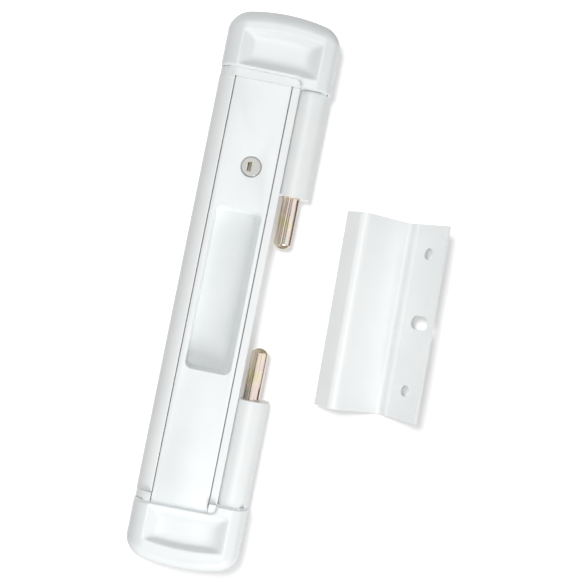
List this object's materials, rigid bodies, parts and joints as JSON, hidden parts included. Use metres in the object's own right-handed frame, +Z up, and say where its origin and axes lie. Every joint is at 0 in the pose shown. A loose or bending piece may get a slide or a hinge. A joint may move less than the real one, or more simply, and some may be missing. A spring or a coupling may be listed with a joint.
{
  "type": "sliding patio door lock",
  "caption": "Surface-mounted lock for a sliding patio door: a slide with a finger recess and key drives opposed round bolts out of housings, with a separate bent keeper.",
  "frame": {"origin": "on the lock's back face, at the middle of its length and of its width", "axes": "+Z up along the door's edge, -Y out of the lock's front, +X towards the keeper"},
  "size_m": [0.1419, 0.0258, 0.3048],
  "materials": {
    "white_powder_coat": "satin white powder coat on extruded aluminium",
    "white_moulding": "smooth white moulded plastic",
    "yellow_zinc_steel": "turned steel with yellow zinc plating",
    "plain_steel": "zinc plated steel",
    "zinc_casting": "die cast, as cast",
    "brass_sheet": "stamped sheet",
    "guide_moulding": "plain moulded plastic"
  },
  "bodies": {
    "lock_body": {"body_extrusion": "white_powder_coat", "upper_end_block": "white_powder_coat", "lower_end_block": "white_powder_coat", "end_block_screws": "plain_steel", "upper_end_cap": "white_moulding", "lower_end_cap": "white_moulding", "cap_screws": "plain_steel", "pinion_axle": "plain_steel", "axle_clip": "plain_steel", "cam_stop": "plain_steel", "rack_guide": "guide_moulding", "guide_rivet": "plain_steel", "friction_spring": "plain_steel", "spring_rivet": "plain_steel"},
    "slide": {"slide_plate": "white_moulding", "slide_rack": "zinc_casting", "rack_screws": "plain_steel", "upper_bolt": "yellow_zinc_steel", "upper_drive_stud": "plain_steel", "cylinder_shell": "zinc_casting", "cylinder_screws": "plain_steel"},
    "plug": {"key_plug": "zinc_casting", "wafer_tumblers": "brass_sheet", "lock_cam": "plain_steel", "cam_screw": "plain_steel"},
    "pinion": {"pinion": "zinc_casting"},
    "lower_bolt": {"lower_rack": "zinc_casting", "lower_bolt": "yellow_zinc_steel", "lower_drive_stud": "plain_steel"},
    "keeper": {"keeper": "white_powder_coat"}
  },
  "joints": [
    {"name": "slide_travel", "type": "slide", "parent": "lock_body", "child": "slide", "axis": [0, 0, 1], "range_m": [0, 0.027]},
    {"name": "key_turn", "type": "hinge", "parent": "slide", "child": "plug", "pos_m": [-0.0038, -0.012, 0.0677], "axis": [0, 1, 0], "range_deg": [0, 90]},
    {"name": "pinion_turn", "type": "hinge", "parent": "lock_body", "child": "pinion", "pos_m": [-0.0024, -0.005, -0.066], "axis": [0, 1, 0], "range_deg": [0, 258]},
    {"name": "lower_bolt_travel", "type": "slide", "parent": "lock_body", "child": "lower_bolt", "axis": [0, 0, -1], "range_m": [0, 0.027]},
    {"name": "keeper_travel", "type": "slide", "parent": "lock_body", "child": "keeper", "axis": [1, 0, 0], "range_m": [-0.02, 0.055]}
  ],
  "couplings": [
    {"joint": "pinion_turn", "follows": "slide_travel", "rad_per_m": 166.67},
    {"joint": "lower_bolt_travel", "follows": "slide_travel", "ratio": 1}
  ]
}
